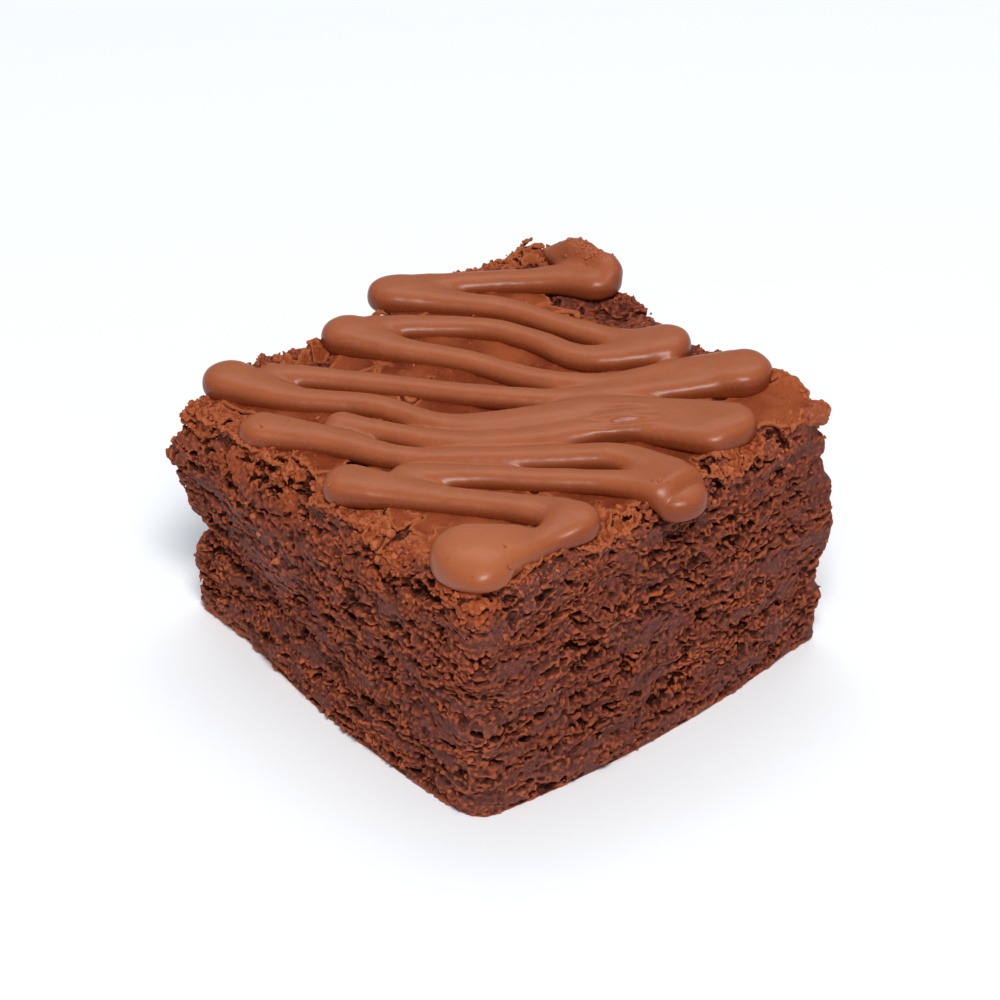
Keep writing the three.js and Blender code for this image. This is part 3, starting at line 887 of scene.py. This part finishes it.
def ball_field(lump, x, y, z):
    """Distance outside a stretched ball."""
    spans = zip((x, y, z), lump["at"], lump["half"])
    q = np.sqrt(sum(((a - c) / r) ** 2 for a, c, r in spans))
    return (q - 1) * min(lump["half"])


def melted(field, reach):
    """The field averaged over some voxels each way, which rounds its creases."""
    for axis in range(3):
        ends = [(reach + 1, reach) if a == axis else (0, 0) for a in range(3)]
        total = np.cumsum(np.pad(field, ends, mode="edge"), axis=axis, dtype=np.float64)
        count = field.shape[axis]
        late = np.take(total, np.arange(2 * reach + 1, 2 * reach + 1 + count), axis=axis)
        early = np.take(total, np.arange(count), axis=axis)
        field = ((late - early) / (2 * reach + 1)).astype(np.float32)
    return field


def chocolate_surface():
    """Points and faces of the zigzag, with how much each point is made paler by painted light at the near
    end.
    """
    axes = axes_over(*CHOCOLATE_BOX, CHOCOLATE_VOXEL)
    x, y, z = axes
    field = np.full((x.size, y.size, z.size), 4, np.float32)
    for stroke in STROKES:
        ix, iy, bead = bead_field(stroke, x, y, z)
        part = np.ix_(ix, iy)
        field[part] = smooth_min(field[part], bead, BEAD_BLEND)
    for lump in COATED_LUMPS:
        coat = layered(x, y, z, COAT_WAVES, ball_field(lump, x, y, z))
        field = smooth_min(field, coat, COAT_BLEND)
    field = smooth_min(field, ball_field(RUN_OUT, x, y, z), RUN_OUT_BLEND)
    field = melted(melted(field, MELT), MELT)
    field += layered(x, y, 0, SKIN_WAVES)
    u, v = turned(x, y, FOLD_TURN)
    field += patches(FOLDS, x, y) * noise(u / FOLD_LENGTH, v / FOLD_WIDTH, 0, 75)
    points, triangles, quads = surface_of(field, axes, CHOCOLATE_VOXEL)
    points[:, 2] += chocolate_base(points[:, 0], points[:, 1])
    # Painted light: the near end is made paler, fading with distance from it.
    end_light = bell(np.hypot(points[:, 0] - PAINTED_LIGHT_END[0], points[:, 1] - PAINTED_LIGHT_END[1]), PAINTED_LIGHT_REACH)
    return points, triangles, quads, end_light


points, triangles, quads, end_light = chocolate_surface()
chocolate = mesh_piece("chocolate_zigzag", points, triangles, quads)
# How level each point faces, for the painted shade on steep sides and the painted sheen on level tops.
upward = np.empty(len(points) * 3, np.float32)
chocolate.data.vertices.foreach_get("normal", upward)
paint(chocolate, "level", upward[2::3])
paint(chocolate, "end_light", end_light)


CHOCOLATE_BODY = ((0.305, 0.073, 0.022), (0.355, 0.091, 0.029))
# Painted shade for the steep sides and a painted sheen for the level tops.
SHADED_STEEP_CHOCOLATE = (0.2, 0.037, 0.01)
SHEEN_ON_LEVEL_CHOCOLATE = (0.37, 0.104, 0.033)
# Painted light: the paler colour of the near end.
PAINTED_LIGHT_CHOCOLATE = (0.44, 0.13, 0.045)
CHOCOLATE_SPECK = (0.5, 0.19, 0.09)
CHOCOLATE_DEPTHS = (0.0012, 0.0006, 0.0003)


def chocolate_material():
    """Satin milk chocolate, with painted shade on its steep sides, a painted sheen on its level tops, and
    painted light making its near end paler.
    """
    material, tree, shader = new_material("milk chocolate")
    place = tree.nodes.new("ShaderNodeTexCoord")
    cloud = add(tree, "ShaderNodeTexNoise", scale=220.0, detail=3.0)
    speck = add(tree, "ShaderNodeTexNoise", scale=3200.0, detail=1.0)
    for node in (cloud, speck):
        tree.links.new(place.outputs["Object"], node.inputs["Vector"])
    body = mix(tree, ramp(tree, cloud.outputs["Fac"], 0.3, 0.7, 0, 1), *CHOCOLATE_BODY)
    level = layer(tree, "level")
    # Painted shade darkens the steep sides; a painted sheen makes the level tops paler.
    steep_shade = mix(tree, ramp(tree, level, 0.1, 0.8, 0.85, 0), body, SHADED_STEEP_CHOCOLATE)
    level_sheen = mix(tree, ramp(tree, level, 0.8, 0.99, 0, 0.5), steep_shade, SHEEN_ON_LEVEL_CHOCOLATE)
    # Painted light makes the near end paler.
    end_lit = mix(tree, ramp(tree, layer(tree, "end_light"), 0, 1, 0, 0.8), level_sheen, PAINTED_LIGHT_CHOCOLATE)
    specked = mix(tree, ramp(tree, speck.outputs["Fac"], 0.6, 0.8, 0, 0.28), end_lit, CHOCOLATE_SPECK)
    tree.links.new(specked, shader.inputs["Base Color"])
    bump = add(tree, "ShaderNodeBump", strength=0.2, distance=0.00003)
    tree.links.new(speck.outputs["Fac"], bump.inputs["Height"])
    tree.links.new(bump.outputs["Normal"], shader.inputs["Normal"])
    shader.inputs["Roughness"].default_value = 0.34
    shader.inputs["Specular IOR Level"].default_value = 0.3
    shader.inputs["Subsurface Weight"].default_value = 0.15
    shader.inputs["Subsurface Radius"].default_value = CHOCOLATE_DEPTHS
    shader.inputs["Subsurface Scale"].default_value = 1.0
    return material


chocolate.data.materials.append(chocolate_material())
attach(chocolate, "root")
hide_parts("brownie")

# Loose crumbs
# The real ones are bits of dry crust and crumb that the knife threw off. They stick to the sides, most
# of all along the rims and the foot, and a few lie on the crust and on the chocolate.
LOOSE_CRUMBS = 1640
CRUMBS_ON_TOP = 40
CRUMBS_BY_RIM = 700
DUSTING = 110
CHOCOLATE_SHARE = 0.06
DUSTED_END = (-18.5, 31.0)
DUSTED_SPREAD = (2.6, 1.1)
NO_QUADS = np.empty((0, 4), np.int64)

# How thick the crumbs lie: anywhere, in patches, by the rim, at the foot and in the clusters
THICKNESS_OF_CRUMBS = {"anywhere": 0.06, "patch": 0.5, "rim": 2.4, "foot": 0.7, "cluster": 40}
RIM_CRUMB_REACH = 2.6
FOOT_CRUMB_REACH = 4
CLUSTER_REACH = 1.1
CRUMB_SIZE = {"least": 0.09, "spread": 0.13, "most": 0.5, "dusting": 0.6}
CRUMB_STRETCH = (0.45, 1.4)
CRUMB_ROUGHNESS = 0.8
CLUSTERS = [
    (4.7, -33.8, 15.8), (7.2, -33.6, 24.6), (-26.0, -33.0, 3.0), (-30.5, -31.0, 22.0), (12.0, -34.6, 3.0),
    (33.6, -24.0, 12.0), (31.0, -31.5, 30.0), (34.5, 12.0, 7.0), (30.5, -31.5, 9.0), (34.2, -2.0, 33.5),
]


def lump_shape(level):
    """Points and faces of a round ball of radius 1."""
    ball = bmesh.new()
    bmesh.ops.create_icosphere(ball, subdivisions=level, radius=1)
    place = np.array([v.co[:] for v in ball.verts])
    faces = np.array([[v.index for v in f.verts] for f in ball.faces])
    ball.free()
    return place, faces


def lump_cloud(places, sizes, level, draw, roughness):
    """Many rough lumps as one set of points and triangles, turned at random."""
    ball, faces = lump_shape(level)
    count = len(places)
    spin = draw.normal(size=(count, 3, 3))
    turn = np.linalg.qr(spin)[0]
    shift = draw.uniform(0, 50, (count, 1, 3))
    swell = 1
    for pitch, share, seed in ((1.3, 1, 81), (3.1, 0.6, 82)):
        spot = ball[None] * pitch + shift
        swell = swell + roughness * share * noise(spot[..., 0], spot[..., 1], spot[..., 2], seed)
    shape = ball[None] * swell[..., None] * sizes[:, None, :]
    shape = np.einsum("nij,nkj->nki", turn, shape) + places[:, None, :]
    triangles = faces[None] + (np.arange(count) * len(ball))[:, None, None]
    return shape.reshape(-1, 3), triangles.reshape(-1, 3)


def on_top(x, y):
    """The highest point of the brownie over x, y, in millimetres, and whether it is chocolate."""
    start = Vector(((x + SQUARE_MIDDLE[0]) * MM, (y + SQUARE_MIDDLE[1]) * MM, 0.06))
    heights = []
    for piece in (chocolate, crumb, crust):
        hit, place, _, _ = piece.ray_cast(start, Vector((0, 0, -1)))
        heights.append(place.z / MM if hit else 0.0)
    return max(heights), heights[0] == max(heights)


def loose_crumb_places(draw):
    """Where the crumbs sit: proud places of the sides, thickest at the rims and in clusters."""
    count = len(crumb.data.vertices)
    place = np.empty(count * 3, np.float32)
    crumb.data.vertices.foreach_get("co", place)
    place = place.reshape(-1, 3) / MM - SQUARE_MIDDLE
    x, y, z = place.T
    outer = np.maximum(np.abs(x), np.abs(y)) > HALF - 3
    off_floor = z > 0.8
    patch = np.clip(noise(x / 4, y / 4, z / 3, 83) + 0.25, 0, 1)
    rim = bell(crust_height(x, y) - z, RIM_CRUMB_REACH)
    foot = bell(z, FOOT_CRUMB_REACH) * off_floor
    thick = THICKNESS_OF_CRUMBS
    for at in CLUSTERS:
        patch = patch + thick["cluster"] * np.exp(-(((place - np.array(at)) / CLUSTER_REACH) ** 2).sum(1))
    share = thick["anywhere"] + thick["patch"] * patch + thick["rim"] * rim + thick["foot"] * foot
    weight = outer * off_floor * (stands > -0.05) * share
    return place[draw.choice(count, LOOSE_CRUMBS, replace=False, p=weight / weight.sum())]


def loose_crumbs():
    """Points and triangles of all the crumbs, with each point's tone."""
    draw = np.random.default_rng(17)
    bpy.context.view_layer.update()
    sides = loose_crumb_places(draw)
    spots = draw.uniform(-HALF + 0.5, HALF - 0.5, (CRUMBS_ON_TOP, 2))
    dusted = draw.normal(DUSTED_END, DUSTED_SPREAD, (DUSTING, 2))
    along = draw.uniform(-HALF, HALF, CRUMBS_BY_RIM)
    inward = HALF + 0.8 - draw.gamma(1.4, 1.3, CRUMBS_BY_RIM)
    near_side = draw.random(CRUMBS_BY_RIM) < 0.5
    by_rim = np.column_stack([np.where(near_side, along, inward), np.where(near_side, -inward, along)])
    top = []
    for kind in (spots, by_rim, dusted):
        for x, y in kind:
            height, on_chocolate = on_top(x, y)
            bare = not on_chocolate or kind is dusted or draw.random() < CHOCOLATE_SHARE
            if height > 20 and bare:
                top.append((x, y, height))
    top = np.array(top)
    places = np.vstack([sides, top])
    size = CRUMB_SIZE["least"] + CRUMB_SIZE["spread"] * draw.gamma(2, 0.5, len(places))
    size = np.minimum(size, CRUMB_SIZE["most"])[:, None] * draw.uniform(*CRUMB_STRETCH, (len(places), 3))
    size[-DUSTING:] *= CRUMB_SIZE["dusting"]
    tone = draw.uniform(0, 1, len(places))
    tone[len(sides):] = 0.6 + 0.4 * tone[len(sides):]
    level = 2
    points, triangles = lump_cloud(places, size, level, draw, CRUMB_ROUGHNESS)
    return points, triangles, np.repeat(tone, len(points) // len(places))


points, triangles, tone = loose_crumbs()
crumbs = mesh_piece("loose_crumbs", points, triangles, NO_QUADS)
paint(crumbs, "tone", tone)


LOOSE_BODY = ((0.17, 0.034, 0.015), (0.48, 0.12, 0.042))
LOOSE_FLECK = (0.6, 0.2, 0.08)


def loose_material():
    """Crumbs from the dark of the inside to the orange of the crust."""
    material, tree, shader = new_material("loose crumbs")
    grain = grain_and_bump(tree, shader, 0.5, 0.0001)
    body = mix(tree, layer(tree, "tone"), *LOOSE_BODY)
    flecked = mix(tree, ramp(tree, grain.outputs["Fleck"], 0, 1, 0, 0.4), body, LOOSE_FLECK)
    tree.links.new(flecked, shader.inputs["Base Color"])
    shader.inputs["Roughness"].default_value = 0.7
    shader.inputs["Specular IOR Level"].default_value = 0.2
    return material


crumbs.data.materials.append(loose_material())
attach(crumbs, "root")
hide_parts("brownie")

# Stuck crumbs
# The real ones are lumps of crust and crumb that broke off the rim and stuck by the right corner.
STUCK_CRUMBS = [
    {"at": (31.6, 29.5, 39.0), "half": (1.8, 2.2, 1.3)},
    {"at": (22.4, 33.6, 38.6), "half": (1.3, 1.2, 0.7)},
]
STUCK_SWELL = [(0.8, 1.9, 1.9, 91)]
STUCK_LUMPS = [(1, 0.9, 0.9, 92)]
STUCK_GRAIN = [(0.25, 0.45, 0.45, 93)]
STUCK_ROUGHNESS = 0.6
STUCK_TONE = 0.4


def stuck_surface():
    """Points and triangles of the lumps, with rough grain all over."""
    ball, faces = lump_shape(5)
    points, triangles = [], []
    for lump in STUCK_CRUMBS:
        at, half_size = np.array(lump["at"]), np.array(lump["half"])
        shape = at + ball * half_size
        x, y, z = shape.T
        out = layered(x, y, z, STUCK_SWELL) + 0.6 * np.abs(layered(x, y, z, STUCK_LUMPS))
        out = layered(x, y, z, STUCK_GRAIN, out) - 0.3
        shape = shape + ball * out[:, None] * STUCK_ROUGHNESS * min(half_size)
        triangles.append(faces + sum(len(p) for p in points))
        points.append(shape)
    return np.vstack(points), np.vstack(triangles)


points, triangles = stuck_surface()
stuck = mesh_piece("stuck_crumbs", points, triangles, NO_QUADS)
paint(stuck, "tone", np.full(len(points), STUCK_TONE))
stuck.data.materials.append(crumbs.data.materials[0])
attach(stuck, "root")
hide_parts("brownie")

# Floor
# A plain pale sweep that the brownie stands on, a little below its lowest crumbs.
bpy.ops.mesh.primitive_plane_add(size=4, location=(0, 0, -0.0001))
floor = bpy.context.object
floor.name = "floor"
floor_material, _, floor_shader = new_material("floor")
floor_shader.inputs["Base Color"].default_value = (0.955, 0.972, 1.0, 1)
floor_shader.inputs["Roughness"].default_value = 0.6
floor.data.materials.append(floor_material)

# Light
# Soft studio light: a box above the camera, a broader and dimmer one behind, and a pale room.
target = Vector((SQUARE_MIDDLE[0] * MM, SQUARE_MIDDLE[1] * MM, 0.018))


def softbox(name, azimuth, elevation, distance, size, power, colour):
    data = bpy.data.lights.new(name, "AREA")
    data.shape = "RECTANGLE"
    data.size = size[0]
    data.size_y = size[1]
    data.energy = power
    data.color = colour
    light = bpy.data.objects.new(name, data)
    a, e = math.radians(azimuth), math.radians(elevation)
    way = Vector((math.sin(a) * math.cos(e), -math.cos(a) * math.cos(e), math.sin(e)))
    light.location = target + way * distance
    light.rotation_euler = way.to_track_quat("Z", "Y").to_euler()
    bpy.context.scene.collection.objects.link(light)


softbox("key_light", 56, 57, 1.6, (0.5, 0.4), 19.7, (1.0, 0.98, 0.95))
softbox("back_light", 230, 60, 1.8, (1.4, 0.9), 7.5, (0.96, 0.98, 1.0))

world = bpy.data.worlds.new("room")
world.use_nodes = True
world.node_tree.nodes["Background"].inputs["Color"].default_value = (0.84, 0.92, 1.0, 1)
world.node_tree.nodes["Background"].inputs["Strength"].default_value = 0.37
bpy.context.scene.world = world
bpy.context.scene.view_settings.view_transform = "Standard"

# Camera
# A long lens, above the near corner.
CAMERA_AZIMUTH = math.radians(50.2)
CAMERA_ELEVATION = math.radians(34.07)
CAMERA_DISTANCE = 0.5718
camera_data = bpy.data.cameras.new("camera")
camera_data.sensor_width = 36
camera_data.lens = 144
camera_data.shift_x = -0.0058
camera_data.shift_y = 0.0193
camera = bpy.data.objects.new("camera", camera_data)
camera_way = Vector((
    math.sin(CAMERA_AZIMUTH) * math.cos(CAMERA_ELEVATION),
    -math.cos(CAMERA_AZIMUTH) * math.cos(CAMERA_ELEVATION),
    math.sin(CAMERA_ELEVATION),
))
camera.location = target + camera_way * CAMERA_DISTANCE
camera.rotation_euler = camera_way.to_track_quat("Z", "Y").to_euler()
bpy.context.scene.collection.objects.link(camera)
bpy.context.scene.camera = camera
